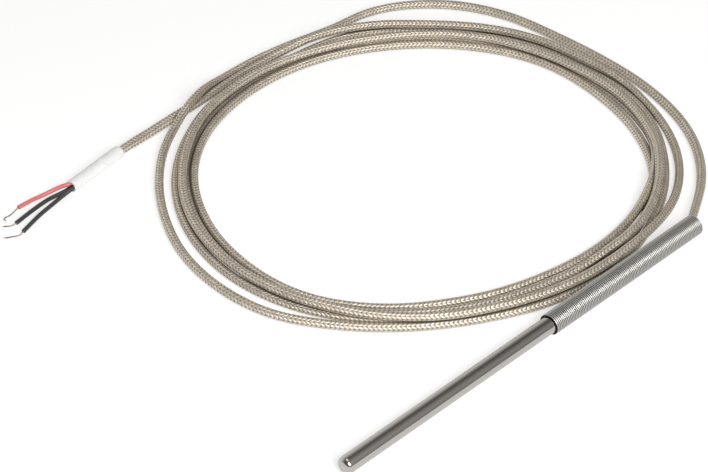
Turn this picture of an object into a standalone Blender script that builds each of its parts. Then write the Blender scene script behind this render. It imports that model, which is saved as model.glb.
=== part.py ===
# RTD temperature probe: metal sheath, strain relief spring and a coiled braided cable with three leads.
# The probe lies along +X (tip at -X), its spring rests on the floor at z = 0, the cable's coil is at +Y.
# Lengths are in metres.
import math

import bmesh
import bpy
import numpy as np
from mathutils import Vector

# Clearance between pieces that touch
GAP = 0.0003

# Sheath
SHEATH_OD = 0.00635
SHEATH_WALL = 0.0005
SHEATH_SHOWN = 0.1000
SHEATH_HIDDEN = 0.0143
TIP_WALL = 0.0010
TIP_ROUND = 0.0020
BORE_ROUND = 0.0008

# Strain relief spring
WIRE_D = 0.00076
SPRING_LENGTH = 0.0814
SPRING_TURNS = 102
SPRING_FIT = 0.00006
TURN_SEGMENTS = 9

# Cable
CORD_D = 0.0033
SEAL_OVERLAP = 0.0080
EXIT_SIDE = 0.00145
LEAN_BACK = 0.0005
LEAN_LENGTH = 0.0140
POINT_SPACING = 0.0092

# Sensing element, its potting and its leads
ELEMENT_D = 0.0028
ELEMENT_LENGTH = 0.0150
POTTING_LENGTH = 0.0195
POTTING_FLOOR = 0.0010
ELEMENT_LEAD_D = 0.0004
ELEMENT_LEAD_SPREAD = 0.0006
RED_SPLICE_BACK = 0.0370
BLACK_SPLICE_BACK = 0.0300
SPLICE_LENGTH = 0.0055
SPLICE_D = 0.0017
SPLICE_WIDE = 0.0036
SPLICE_HIGH = 0.0015

# Insulated wires
LEAD_D = 0.0016
BUNDLE_RADIUS = 0.0011
INNER_BEARINGS = (90, 210, 330)
LEAD_BEARINGS = (60, 300, 180)
STRAND_D = 0.00050

# End seal
SEAL_LENGTH = 0.0135
SEAL_RECESS = 0.0003

# End sleeve
SLEEVE_OD = 0.0050
SLEEVE_WALL = 0.0005
SLEEVE_START = (-0.0243, 0.1853)
SLEEVE_END = (-0.0517, 0.1808)
SLEEVE_COVER = 0.0130

# Coil of cable
COIL_CENTRE = (0.0516, 0.0993)
COIL_ZERO = -45.46
RING_SHIFT = 0.0003
RING_INNER = 0.0825
RING_OUTER = 0.0947
RING_HEIGHT = 0.0068
RING_ROUND = 0.0036
RING_STEPS = 48

# First loop of the cable: bearing in degrees from COIL_ZERO, radius in mm, height in cable diameters
FIRST_LOOP = [
    (-20.7, 104.9, 1.18), (-16.7, 104.4, 0.97), (-12.5, 104.6, 0.73), (-7.5, 105.1, 0.55), (0.0, 105.6, 0.50),
    (12.0, 105.6, 0.50), (30.0, 104.0, 0.50), (45.0, 103.7, 0.50), (58.0, 106.4, 0.50), (70.0, 112.2, 0.50),
    (82.0, 115.5, 0.50), (94.0, 113.8, 0.50), (102.0, 109.0, 0.50), (107.5, 103.2, 0.50), (112.0, 100.6, 0.50),
    (118.0, 98.8, 0.50), (125.0, 97.6, 0.50), (133.0, 97.1, 0.50), (141.0, 97.0, 0.50), (146.0, 97.0, 0.76),
    (150.0, 96.8, 1.22), (154.0, 96.0, 1.56), (157.0, 95.9, 1.60), (160.0, 96.4, 1.42), (163.0, 96.8, 1.00),
    (167.0, 97.3, 0.62), (172.0, 97.9, 0.50), (178.0, 98.3, 0.50), (185.0, 98.7, 0.50), (200.0, 100.6, 0.50),
    (215.0, 103.6, 0.50), (230.0, 105.4, 0.50), (240.0, 105.3, 0.50), (250.0, 102.3, 0.50), (265.0, 98.2, 0.50),
    (271.0, 96.9, 0.50),
]

# Tail of the cable: out from the coil under the raised first loop, then straight to the sleeve
TAIL_LOOP = [(157.6, 97.1, 0.50), (160.0, 98.7, 0.50), (163.3, 100.9, 0.50), (166.2, 103.2, 0.50), (169.0, 105.7, 0.55)]

# Leads beyond the sleeve: plan position and height in mm
RED_ROUTE = [(-54.2, 183.1, 2.9), (-58.1, 185.0, 1.5), (-62.3, 186.1, 0.8), (-66.7, 186.5, 0.8), (-72.2, 186.4, 0.8)]
BLACK_1_ROUTE = [(-56.2, 182.0, 1.0), (-60.2, 182.5, 0.8), (-64.3, 182.2, 0.8), (-71.0, 181.1, 0.8), (-78.7, 179.5, 0.8)]
BLACK_2_ROUTE = [(-56.7, 180.0, 1.1), (-63.5, 178.7, 0.8), (-69.4, 177.3, 0.8), (-74.6, 175.6, 0.8), (-80.1, 173.7, 0.8)]

# Bare strands beyond the insulation: plan position and height in mm
RED_STRAND = [(-75.0, 185.9, 0.30), (-77.4, 185.4, 0.26), (-79.3, 185.5, 0.26), (-80.3, 184.7, 0.26), (-80.0, 183.5, 0.26)]
BLACK_1_STRAND = [(-80.6, 180.0, 0.30), (-82.0, 180.9, 0.26), (-83.6, 182.1, 0.26)]
BLACK_2_STRAND = [(-82.1, 173.4, 0.30), (-83.9, 174.1, 0.26), (-85.6, 175.1, 0.26), (-87.6, 176.2, 0.26)]

# Sizes that follow from those above
TIP_X = -(SHEATH_SHOWN + SPRING_LENGTH) / 2
MOUTH_X = TIP_X + SHEATH_SHOWN
SHEATH_END_X = MOUTH_X + SHEATH_HIDDEN
SPRING_END_X = MOUTH_X + SPRING_LENGTH
SHEATH_R = SHEATH_OD / 2
BORE_R = SHEATH_R - SHEATH_WALL
FILL_R = BORE_R - GAP
COIL_MEAN_R = SHEATH_R + SPRING_FIT + WIRE_D / 2
AXIS_Z = COIL_MEAN_R + WIRE_D / 2
SEAL_BACK_X = SHEATH_END_X - SEAL_RECESS
SEAL_FRONT_X = SEAL_BACK_X - SEAL_LENGTH
CABLE_START_X = SEAL_BACK_X - SEAL_OVERLAP
POTTING_START_X = TIP_X + TIP_WALL + GAP
ELEMENT_START_X = POTTING_START_X + POTTING_FLOOR + GAP
ELEMENT_END_X = ELEMENT_START_X + ELEMENT_LENGTH
SLEEVE_R = SLEEVE_OD / 2
SLEEVE_BORE_R = SLEEVE_R - SLEEVE_WALL


def clear_scene():
    for obj in list(bpy.data.objects):
        bpy.data.objects.remove(obj, do_unlink=True)


def make_collection(name):
    coll = bpy.data.collections.new(name)
    bpy.context.scene.collection.children.link(coll)
    return coll


def material(name, colour, metallic, roughness):
    mat = bpy.data.materials.new(name)
    mat.use_nodes = True
    bsdf = mat.node_tree.nodes["Principled BSDF"]
    bsdf.inputs["Base Color"].default_value = (*colour, 1.0)
    bsdf.inputs["Metallic"].default_value = metallic
    bsdf.inputs["Roughness"].default_value = roughness
    return mat


def add_object(name, data, mat, coll):
    data.name = name
    obj = bpy.data.objects.new(name, data)
    coll.objects.link(obj)
    obj.data.materials.append(mat)
    return obj


# A profile of (radius, height) points turned about the local Z axis
def turned(name, points, closed, steps, mat, coll):
    mesh = bpy.data.meshes.new(name)
    edges = [(i, i + 1) for i in range(len(points) - 1)]
    if closed:
        edges.append((len(points) - 1, 0))
    mesh.from_pydata([(r, 0.0, h) for r, h in points], edges, [])
    obj = add_object(name, mesh, mat, coll)
    screw = obj.modifiers.new("Turn", "SCREW")
    screw.axis = "Z"
    screw.angle = 2 * math.pi
    screw.steps = steps
    screw.render_steps = steps
    screw.use_merge_vertices = True
    screw.merge_threshold = 0.00001
    screw.use_smooth_shade = True
    return obj


# The same with the local Z axis laid along +X, at the probe's axis
def turned_along_x(name, points, closed, steps, mat, coll):
    obj = turned(name, [(r, x) for x, r in points], closed, steps, mat, coll)
    obj.rotation_euler = (0.0, math.pi / 2, 0.0)
    obj.location = (0.0, 0.0, AXIS_Z)
    return obj


# A round bar through the points, its ends capped
def tube(name, points, radius, resolution, mat, coll):
    curve = bpy.data.curves.new(name, "CURVE")
    curve.dimensions = "3D"
    curve.bevel_depth = radius
    curve.bevel_resolution = resolution
    curve.use_fill_caps = True
    spline = curve.splines.new("POLY")
    spline.points.add(len(points) - 1)
    for point, place in zip(spline.points, points):
        point.co = (*place, 1.0)
    spline.use_smooth = True
    return add_object(name, curve, mat, coll)


# Quarter circle from one angle to another, in (x, r)
def arc(x, r, radius, start, end, count):
    angles = [math.radians(start + (end - start) * i / count) for i in range(count + 1)]
    return [(x + radius * math.cos(a), r + radius * math.sin(a)) for a in angles]


# Smooth run through keys of a rising first value: cubic pieces with slopes taken from the neighbours
def through_keys(keys, step):
    keys = np.array(keys)
    last = len(keys) - 1
    slopes = [(keys[min(i + 1, last)] - keys[max(i - 1, 0)]) for i in range(last + 1)]
    slopes = [s / s[0] for s in slopes]
    run = []
    for i in range(last):
        span = keys[i + 1][0] - keys[i][0]
        count = max(1, round(span / step))
        for j in range(count):
            t = j / count
            a = (2 * t**3 - 3 * t**2 + 1) * keys[i] + (3 * t**2 - 2 * t**3) * keys[i + 1]
            b = (t**3 - 2 * t**2 + t) * span * slopes[i] + (t**3 - t**2) * span * slopes[i + 1]
            run.append(a + b)
    run.append(keys[last])
    return run


# Places of a run given as bearing, radius in mm and height in cable diameters
def coil_places(keys):
    places = []
    for bearing, radius, level in through_keys(keys, 2.0):
        angle = math.radians(COIL_ZERO + bearing)
        x = COIL_CENTRE[0] + radius * 0.001 * math.cos(angle)
        y = COIL_CENTRE[1] + radius * 0.001 * math.sin(angle)
        places.append((x, y, level * CORD_D))
    return places


# Evenly spaced points along a polyline
def evenly(places, spacing):
    places = np.array(places)
    steps = np.linalg.norm(np.diff(places, axis=0), axis=1)
    along = np.concatenate([[0.0], np.cumsum(steps)])
    count = max(2, round(along[-1] / spacing) + 1)
    at = np.linspace(0.0, along[-1], count)
    return [tuple(float(np.interp(s, along, places[:, k])) for k in range(3)) for s in at]


# Smooth run through plan positions and heights
def smooth_route(points, spacing):
    keys = [(float(i), *p) for i, p in enumerate(points)]
    return evenly([tuple(k[1:]) for k in through_keys(keys, 0.125)], spacing)


def in_metres(points):
    return [tuple(v * 0.001 for v in p) for p in points]


# Position of one of the three wires round the bundle's middle, as (across, up)
def bundle_place(bearing):
    angle = math.radians(bearing)
    return BUNDLE_RADIUS * math.cos(angle), BUNDLE_RADIUS * math.sin(angle)


# Unit vector along the sleeve in plan, from the cable to the leads
def sleeve_direction():
    run = Vector((SLEEVE_END[0] - SLEEVE_START[0], SLEEVE_END[1] - SLEEVE_START[1], 0.0))
    return run.normalized()


# Point on the sleeve's axis at a distance from its cable end
def on_sleeve(distance):
    return Vector((*SLEEVE_START, SLEEVE_R)) + sleeve_direction() * distance


def sleeve_length():
    return math.hypot(SLEEVE_END[0] - SLEEVE_START[0], SLEEVE_END[1] - SLEEVE_START[1])


def build_sheath(mats, coll):
    inner_x = TIP_X + TIP_WALL
    points = [(inner_x, 0.0)]
    points += arc(inner_x + BORE_ROUND, BORE_R - BORE_ROUND, BORE_ROUND, 180, 90, 2)
    points += [(SHEATH_END_X, BORE_R), (SHEATH_END_X, SHEATH_R)]
    points += arc(TIP_X + TIP_ROUND, SHEATH_R - TIP_ROUND, TIP_ROUND, 90, 180, 5)
    points += [(TIP_X, 0.0)]
    return turned_along_x("sheath_tube", points, False, 24, mats["steel"], coll)


# Close-wound helix; the chords' middles keep the wire's true distance from the axis
def build_spring(mats, coll):
    reach = COIL_MEAN_R / math.cos(math.pi / TURN_SEGMENTS)
    length = SPRING_LENGTH - WIRE_D
    count = SPRING_TURNS * TURN_SEGMENTS
    points = []
    for i in range(count + 1):
        angle = math.radians(-90) + 2 * math.pi * (i + 0.5) / TURN_SEGMENTS
        x = MOUTH_X + WIRE_D / 2 + length * i / count
        points.append((x, reach * math.cos(angle), AXIS_Z + reach * math.sin(angle)))
    return tube("strain_relief_spring", points, WIRE_D / 2, 1, mats["spring"], coll)


def build_tip_potting(mats, coll):
    bore = ELEMENT_D / 2 + GAP
    floor_x = POTTING_START_X + POTTING_FLOOR
    end_x = POTTING_START_X + POTTING_LENGTH
    points = [(floor_x, 0.0), (floor_x, bore), (end_x, bore), (end_x, FILL_R)]
    points += arc(POTTING_START_X + BORE_ROUND, FILL_R - BORE_ROUND, BORE_ROUND, 90, 180, 2)
    points += [(POTTING_START_X, 0.0)]
    return turned_along_x("tip_potting", points, False, 20, mats["potting"], coll)


def build_element(mats, coll):
    radius = ELEMENT_D / 2
    points = [(ELEMENT_END_X, 0.0), (ELEMENT_END_X, radius), (ELEMENT_START_X, radius), (ELEMENT_START_X, 0.0)]
    return turned_along_x("sensing_element", points, False, 20, mats["ceramic"], coll)


# The splices lie behind one another, each in line with its wires
def splice_start(back):
    return TIP_X + back


def build_element_leads(mats, coll):
    start = ELEMENT_END_X + GAP
    up_red = bundle_place(INNER_BEARINGS[0])[1]
    up_black = bundle_place(INNER_BEARINGS[1])[1]
    bend = start + 0.0015
    side = ELEMENT_LEAD_SPREAD
    red_end = splice_start(RED_SPLICE_BACK) - GAP
    black_end = splice_start(BLACK_SPLICE_BACK) - GAP
    red = [(start, 0.0, AXIS_Z + side), (bend, 0.0, AXIS_Z + side), (bend + 0.002, 0.0, AXIS_Z + up_red)]
    red.append((red_end, 0.0, AXIS_Z + up_red))
    black = [(start, 0.0, AXIS_Z - side), (bend, 0.0, AXIS_Z - side), (bend + 0.002, 0.0, AXIS_Z + up_black)]
    black.append((black_end, 0.0, AXIS_Z + up_black))
    return [
        tube("element_lead_a", red, ELEMENT_LEAD_D / 2, 1, mats["lead_wire"], coll),
        tube("element_lead_b", black, ELEMENT_LEAD_D / 2, 1, mats["lead_wire"], coll),
    ]


def build_red_splice(mats, coll):
    start = splice_start(RED_SPLICE_BACK)
    up = AXIS_Z + bundle_place(INNER_BEARINGS[0])[1]
    points = [(start, 0.0, up), (start + SPLICE_LENGTH, 0.0, up)]
    return tube("splice_red", points, SPLICE_D / 2, 3, mats["splice"], coll)


# Flattened barrel over the element lead on one side and two wires on the other
def build_black_splice(mats, coll):
    mesh = bpy.data.meshes.new("splice_black")
    bm = bmesh.new()
    bmesh.ops.create_cube(bm, size=1.0)
    bmesh.ops.scale(bm, vec=(SPLICE_LENGTH, SPLICE_WIDE, SPLICE_HIGH), verts=bm.verts)
    start = splice_start(BLACK_SPLICE_BACK)
    middle = (start + SPLICE_LENGTH / 2, 0.0, AXIS_Z + bundle_place(INNER_BEARINGS[1])[1])
    bmesh.ops.translate(bm, vec=middle, verts=bm.verts)
    long_edges = [e for e in bm.edges if abs(e.verts[0].co.x - e.verts[1].co.x) > SPLICE_LENGTH / 2]
    bmesh.ops.bevel(bm, geom=long_edges, offset=SPLICE_HIGH * 0.4, segments=3, affect="EDGES", profile=0.5)
    for face in bm.faces:
        face.smooth = True
    bm.to_mesh(mesh)
    bm.free()
    return add_object("splice_black", mesh, mats["splice"], coll)


def build_inner_wires(mats, coll):
    names = ("inner_wire_red", "inner_wire_black_1", "inner_wire_black_2")
    starts = (splice_start(RED_SPLICE_BACK), splice_start(BLACK_SPLICE_BACK), splice_start(BLACK_SPLICE_BACK))
    end = SEAL_FRONT_X - GAP
    wires = []
    for name, start, bearing in zip(names, starts, INNER_BEARINGS):
        across, up = bundle_place(bearing)
        first = start + SPLICE_LENGTH + GAP
        points = [(first, across, AXIS_Z + up), (end, across, AXIS_Z + up)]
        mat = mats["red"] if name.endswith("red") else mats["black"]
        wires.append(tube(name, points, LEAD_D / 2, 2, mat, coll))
    return wires


# Plug in the sheath's open end, with a blind bore for the cable
def build_end_seal(mats, coll):
    bore = CORD_D / 2 + GAP
    floor_x = CABLE_START_X - GAP
    points = [(floor_x, 0.0), (floor_x, bore), (SEAL_BACK_X, bore), (SEAL_BACK_X, FILL_R)]
    points += [(SEAL_FRONT_X, FILL_R), (SEAL_FRONT_X, 0.0)]
    return turned_along_x("end_seal", points, False, 20, mats["seal"], coll)


# The cable lies a little to the back inside the spring, then leans to the coil's side at the far end
def cable_side(x):
    lean_start = SPRING_END_X - GAP - LEAN_LENGTH
    back = (x - SEAL_BACK_X) / (lean_start - SEAL_BACK_X)
    side = -LEAN_BACK * min(1.0, max(0.0, back))
    t = max(0.0, (x - lean_start) / LEAN_LENGTH)
    return side + (EXIT_SIDE + LEAN_BACK) * t**3


def cable_points():
    end = SPRING_END_X - GAP
    lean_start = end - LEAN_LENGTH
    xs = [CABLE_START_X, SEAL_BACK_X, (SEAL_BACK_X + lean_start) / 2]
    xs += [lean_start + LEAN_LENGTH * i / 6 for i in range(7)]
    return [(x, cable_side(x), AXIS_Z) for x in xs]


def build_cable_in_spring(mats, coll):
    return tube("cable_in_spring", cable_points(), CORD_D / 2, 2, mats["braid"], coll)


# Starts a gap beyond the cable's end face and keeps its direction
def build_first_loop(mats, coll):
    before, end = (Vector(p) for p in cable_points()[-2:])
    start = end + (end - before).normalized() * GAP
    places = coil_places(FIRST_LOOP)
    points = [tuple(start)] + places[:4] + evenly(places[3:], POINT_SPACING)[1:]
    return tube("cord_first_loop", points, CORD_D / 2, 2, mats["braid"], coll)


# Outer shape of the turns that lie on and beside each other
def build_coil(mats, coll):
    r = RING_ROUND
    points = [(RING_INNER, r * 0.6), (RING_INNER, RING_HEIGHT - r), (RING_INNER + r, RING_HEIGHT)]
    points += [(RING_OUTER - r, RING_HEIGHT), (RING_OUTER, RING_HEIGHT - r), (RING_OUTER, r * 0.6)]
    points += [(RING_OUTER - r * 0.6, 0.0), (RING_INNER + r * 0.6, 0.0)]
    coil = turned("cord_coil", points, True, RING_STEPS, mats["braid"], coll)
    coil.location = (COIL_CENTRE[0], COIL_CENTRE[1] + RING_SHIFT, 0.0)
    return coil


def build_tail(mats, coll):
    end = on_sleeve(SLEEVE_COVER)
    before = on_sleeve(-0.004)
    places = coil_places(TAIL_LOOP) + [tuple(before), tuple(end)]
    return tube("cord_tail", evenly(places, POINT_SPACING * 0.75), CORD_D / 2, 2, mats["braid"], coll)


def build_sleeve(mats, coll):
    length = sleeve_length()
    points = [(SLEEVE_R, length), (SLEEVE_R, 0.0), (SLEEVE_BORE_R, 0.0), (SLEEVE_BORE_R, length)]
    sleeve = turned("end_sleeve", points, True, 20, mats["sleeve"], coll)
    sleeve.rotation_mode = "QUATERNION"
    sleeve.rotation_quaternion = Vector((0.0, 0.0, 1.0)).rotation_difference(sleeve_direction())
    sleeve.location = on_sleeve(0.0)
    return sleeve


def build_lead(name, bearing, route, mat, coll):
    along = sleeve_direction()
    aside = Vector((along.y, -along.x, 0.0))
    across, up = bundle_place(bearing)
    offset = aside * across + Vector((0.0, 0.0, up))
    inside = [on_sleeve(d) + offset for d in (SLEEVE_COVER + GAP, sleeve_length() - 0.001)]
    points = [tuple(p) for p in inside] + in_metres(route)
    return tube(name, smooth_route(points, 0.0030), LEAD_D / 2, 1, mat, coll)


def build_strand(name, route, strand, mat, coll):
    end = Vector(in_metres(route)[-1])
    onward = (end - Vector(in_metres(route)[-2])).normalized()
    start = end + onward * GAP
    points = [tuple(start)] + in_metres(strand)
    return tube(name, smooth_route(points, 0.0008), STRAND_D / 2, 1, mat, coll)


def build_leads(mats, coll):
    rows = [
        ("red", RED_ROUTE, RED_STRAND, mats["red"]),
        ("black_1", BLACK_1_ROUTE, BLACK_1_STRAND, mats["black"]),
        ("black_2", BLACK_2_ROUTE, BLACK_2_STRAND, mats["black"]),
    ]
    for bearing, (label, route, strand, mat) in zip(LEAD_BEARINGS, rows):
        build_lead("lead_" + label, bearing, route, mat, coll)
        build_strand("bare_end_" + label, route, strand, mats["strand"], coll)


def build_materials():
    return {
        "steel": material("sheath_steel", (0.55, 0.53, 0.50), 1.0, 0.28),
        "spring": material("spring_steel", (0.62, 0.61, 0.59), 1.0, 0.30),
        "braid": material("cable_braid", (0.52, 0.48, 0.42), 1.0, 0.45),
        "sleeve": material("white_sleeve", (0.86, 0.86, 0.85), 0.0, 0.40),
        "red": material("red_insulation", (0.60, 0.05, 0.05), 0.0, 0.45),
        "black": material("black_insulation", (0.015, 0.014, 0.015), 0.0, 0.45),
        "strand": material("bare_strand", (0.45, 0.30, 0.25), 1.0, 0.40),
        "ceramic": material("element_ceramic", (0.85, 0.83, 0.78), 0.0, 0.50),
        "potting": material("potting", (0.35, 0.33, 0.30), 0.0, 0.70),
        "seal": material("seal_epoxy", (0.08, 0.07, 0.06), 0.0, 0.35),
        "lead_wire": material("element_lead", (0.70, 0.69, 0.66), 1.0, 0.30),
        "splice": material("splice_metal", (0.70, 0.66, 0.60), 1.0, 0.35),
    }


def main():
    clear_scene()
    coll = make_collection("rtd_temperature_probe")
    mats = build_materials()
    build_sheath(mats, coll)
    build_spring(mats, coll)
    build_tip_potting(mats, coll)
    build_element(mats, coll)
    build_element_leads(mats, coll)
    build_red_splice(mats, coll)
    build_black_splice(mats, coll)
    build_inner_wires(mats, coll)
    build_end_seal(mats, coll)
    build_cable_in_spring(mats, coll)
    build_first_loop(mats, coll)
    build_coil(mats, coll)
    build_tail(mats, coll)
    build_sleeve(mats, coll)
    build_leads(mats, coll)


main()
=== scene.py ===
import math

import bpy
import numpy as np
from bpy.props import FloatProperty, FloatVectorProperty, IntProperty, PointerProperty
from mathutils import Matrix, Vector


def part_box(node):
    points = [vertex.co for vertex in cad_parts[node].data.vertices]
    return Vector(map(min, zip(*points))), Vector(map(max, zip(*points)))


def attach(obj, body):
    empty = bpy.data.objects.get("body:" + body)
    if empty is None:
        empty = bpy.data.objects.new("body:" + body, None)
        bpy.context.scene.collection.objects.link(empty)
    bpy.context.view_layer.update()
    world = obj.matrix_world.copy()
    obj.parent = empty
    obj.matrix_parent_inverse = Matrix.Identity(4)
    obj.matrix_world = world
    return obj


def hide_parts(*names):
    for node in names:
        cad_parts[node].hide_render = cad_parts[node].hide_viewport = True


bl_info = {
    "name": "RTD temperature probe",
    "version": (1, 0, 0),
    "blender": (4, 5, 0),
    "location": "View3D > Sidebar > Probe",
    "description": "Builds the visible pieces of a temperature probe with a coiled braided cable",
    "category": "Object",
}

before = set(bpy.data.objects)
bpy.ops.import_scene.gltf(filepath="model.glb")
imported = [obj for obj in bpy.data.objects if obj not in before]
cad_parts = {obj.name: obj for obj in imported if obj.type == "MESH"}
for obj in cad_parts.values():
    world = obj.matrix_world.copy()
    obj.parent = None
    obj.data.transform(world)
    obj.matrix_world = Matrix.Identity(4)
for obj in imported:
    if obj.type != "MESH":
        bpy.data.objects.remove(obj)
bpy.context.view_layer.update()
SHEATH_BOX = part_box("sheath_tube")

# Sizes that repeat those of the CAD source
SHEATH_R = 0.003175
SHEATH_WALL = 0.0005
TIP_ROUND = 0.0020
WIRE_D = 0.00076
SPRING_FIT = 0.00006
SPRING_TURNS = 102
CORD_D = 0.0033
LEAD_D = 0.0016
COIL_MEAN_R = SHEATH_R + SPRING_FIT + WIRE_D / 2
AXIS_Z = COIL_MEAN_R + WIRE_D / 2
TIP_X = SHEATH_BOX[0][0]
SHEATH_END_X = SHEATH_BOX[1][0]
SPRING_START_X = TIP_X + 0.1000
SPRING_END_X = SPRING_START_X + 0.0814
SEAL_BACK_X = SHEATH_END_X - 0.0003
CABLE_START_X = SEAL_BACK_X - 0.0080
EXIT_SIDE = 0.00145
LEAN_BACK = 0.0005
LEAN_LENGTH = 0.0140
LEAN_END_X = SPRING_END_X - 0.0003
CORD_START_X = SPRING_END_X - 0.0047

# Where the cable is fuller, as lengths from its start and back from its end, and by how much in radius
FULL_AT_START = (0.020, 0.040, 0.200, 0.230)
FULL_AT_END = (0.014, 0.022, 0.060, 0.080)
FULLER = 0.00020

# How the turns settle: their distance where they press together, the points held still at the cable's ends,
# the rounds, how far a push goes and how often it is evened out. Points nearer along the cable than
# SAME_TURN are of one turn.
BESIDE = 0.95 * CORD_D
HELD_AT_START = 30
HELD_AT_END = 90
SETTLE_ROUNDS = 60
PUSH = 1.4
PUSH_EASING = 4
SAME_TURN = 0.05

# Painted shade between the turns and at the floor: how near the other surface is, the turns looked at, its
# tone
PAINTED_SHADE_REACH = 0.0011
PAINTED_SHADE_NEIGHBOURS = 2.6 * CORD_D
PAINTED_SHADE_TONE = (0.075, 0.056, 0.036)

# Coil of cable
COIL_CENTRE = (0.0516, 0.0993)
COIL_ZERO = -45.46

# The cable's turns: bearing in degrees counted on from COIL_ZERO, radius in mm, height in cable diameters
FIRST_LOOP = [
    (-20.7, 104.9, 1.18), (-16.7, 104.4, 0.97), (-12.5, 104.6, 0.73), (-7.5, 105.1, 0.55),
    (0, 105.6, 0.50), (12, 105.6, 0.50), (30, 104.0, 0.50), (45, 103.7, 0.50), (58, 106.4, 0.50),
    (70, 112.2, 0.50), (82, 115.5, 0.50), (94, 113.8, 0.50), (102, 109.0, 0.50), (107.5, 103.2, 0.50),
    (112, 100.6, 0.50), (118, 98.8, 0.50), (125, 97.6, 0.50), (133, 97.1, 0.50), (141, 97.0, 0.50),
    (146, 97.0, 0.76), (150, 96.8, 1.22), (154, 96.0, 1.56), (157, 95.9, 1.60), (160, 96.4, 1.42),
    (163, 96.8, 1.00), (167, 97.3, 0.62), (172, 97.9, 0.50), (178, 98.3, 0.50), (185, 98.7, 0.50),
    (200, 100.6, 0.50), (215, 103.6, 0.50), (230, 105.4, 0.50), (240, 105.3, 0.50), (250, 102.3, 0.50),
    (265, 98.2, 0.50), (271, 96.9, 0.50), (282, 95.0, 0.50), (300, 94.1, 0.50),
]
SECOND_TURN = [
    (318, 92.6, 0.50), (338, 91.3, 0.50), (350, 91.6, 0.50), (360, 92.1, 0.50), (370, 93.1, 0.50),
    (380, 94.4, 0.50), (405, 95.2, 0.50), (430, 95.2, 0.50), (446, 95.0, 0.50), (460, 94.7, 0.50),
    (469, 93.9, 0.50), (476, 91.6, 0.50), (482, 89.6, 0.50), (489, 88.6, 0.50), (498, 88.6, 0.50),
    (507, 89.4, 0.50), (513, 90.2, 0.50), (520, 90.6, 0.50),
    (528, 90.7, 0.50), (537, 91.6, 0.50), (545, 92.6, 0.50), (555, 93.8, 0.50), (565, 95.2, 0.50),
    (575, 96.5, 0.50), (585, 97.6, 0.50), (600, 97.9, 0.50), (610, 96.6, 0.50), (625, 93.8, 0.50),
    (645, 91.2, 0.50), (663, 90.4, 0.50),
]
THIRD_TURN = [
    (675, 88.9, 0.50), (690, 87.9, 0.50), (705, 87.7, 0.50), (719, 87.1, 0.50), (733, 86.0, 0.50),
    (750, 85.0, 0.50), (760, 85.4, 0.50), (771, 86.3, 0.50), (781, 86.4, 0.50), (790, 85.7, 0.50),
    (800, 84.8, 0.50), (810, 83.9, 0.50), (820, 83.2, 0.50), (840, 82.8, 0.50), (860, 82.9, 0.50),
    (872, 83.2, 0.50), (880, 83.9, 0.50), (890, 84.7, 0.50), (900, 85.5, 0.50), (920, 86.8, 0.50),
    (930, 87.9, 0.50), (940, 89.0, 0.50), (950, 90.4, 0.50), (958, 91.3, 0.50), (966, 91.3, 0.50),
    (975, 90.0, 0.50), (985, 87.6, 0.50), (995, 84.9, 0.50), (1005, 83.2, 0.50), (1015, 81.8, 0.50),
    (1025, 81.2, 0.50), (1035, 81.5, 0.50), (1049, 82.8, 0.50),
]
FOURTH_TURN = [
    (1056, 84.1, 0.65), (1064, 85.8, 1.20), (1072, 87.3, 1.52), (1080, 88.5, 1.45), (1088, 89.6, 1.00),
    (1096, 90.0, 0.60), (1105, 89.6, 0.50), (1125, 89.6, 0.50), (1150, 89.6, 0.50), (1166, 89.2, 0.50),
    (1185, 87.2, 0.50), (1200, 85.8, 0.50), (1215, 85.7, 0.50), (1230, 86.2, 0.50), (1240, 87.2, 0.50),
    (1250, 87.8, 0.50), (1260, 88.6, 0.50), (1275, 89.6, 0.50), (1285, 90.7, 0.50), (1295, 91.9, 0.50),
    (1305, 93.0, 0.50), (1318, 94.6, 0.50), (1326, 94.6, 0.50), (1335, 93.4, 0.50), (1345, 91.0, 0.50),
    (1365, 87.2, 0.50), (1380, 84.9, 0.50),
]
FIFTH_TURN = [
    (1391, 85.6, 0.62), (1398, 86.9, 1.10), (1405, 88.2, 1.50), (1412, 89.2, 1.60), (1425, 89.4, 1.65),
    (1438, 89.2, 2.50), (1452, 89.4, 1.65), (1465, 89.7, 1.42), (1485, 88.3, 1.40), (1500, 88.3, 1.45),
    (1512, 88.2, 1.50), (1526, 87.0, 1.50), (1540, 85.2, 1.50), (1552, 84.7, 1.50), (1563, 84.8, 1.50),
    (1574, 85.7, 1.50), (1586, 86.3, 1.50), (1600, 88.0, 1.45), (1617, 88.9, 1.42), (1627, 90.2, 1.38),
    (1645, 93.0, 1.36), (1665, 95.4, 1.36), (1690, 96.7, 1.38), (1712, 95.6, 1.38), (1725, 93.3, 1.38),
    (1743, 92.2, 1.38),
]
LAST_TURN = [
    (1760, 92.3, 1.55), (1770, 93.6, 1.50), (1779, 95.0, 1.10), (1787, 96.2, 0.70), (1800, 97.5, 0.50),
    (1812, 97.9, 0.50), (1825, 97.8, 0.60), (1835, 96.6, 1.10), (1845, 95.0, 1.45), (1858, 96.0, 1.50),
    (1870, 95.8, 1.50), (1882, 94.6, 1.50), (1890, 94.2, 1.50), (1896, 94.9, 1.50), (1902, 95.3, 1.50),
    (1908, 95.0, 1.50), (1913, 94.7, 1.50), (1918, 94.2, 1.40), (1922, 94.0, 1.10), (1926, 93.9, 0.75),
    (1931, 93.7, 0.50), (1938, 93.4, 0.50), (1945, 93.3, 0.50), (1949, 94.0, 0.50), (1953, 95.2, 0.50),
    (1957.6, 97.1, 0.50), (1960, 98.7, 0.50), (1963.3, 100.9, 0.50), (1966.2, 103.2, 0.50),
    (1969, 105.7, 0.55),
]
CABLE_KEYS = FIRST_LOOP + SECOND_TURN + THIRD_TURN + FOURTH_TURN + FIFTH_TURN + LAST_TURN

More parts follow.
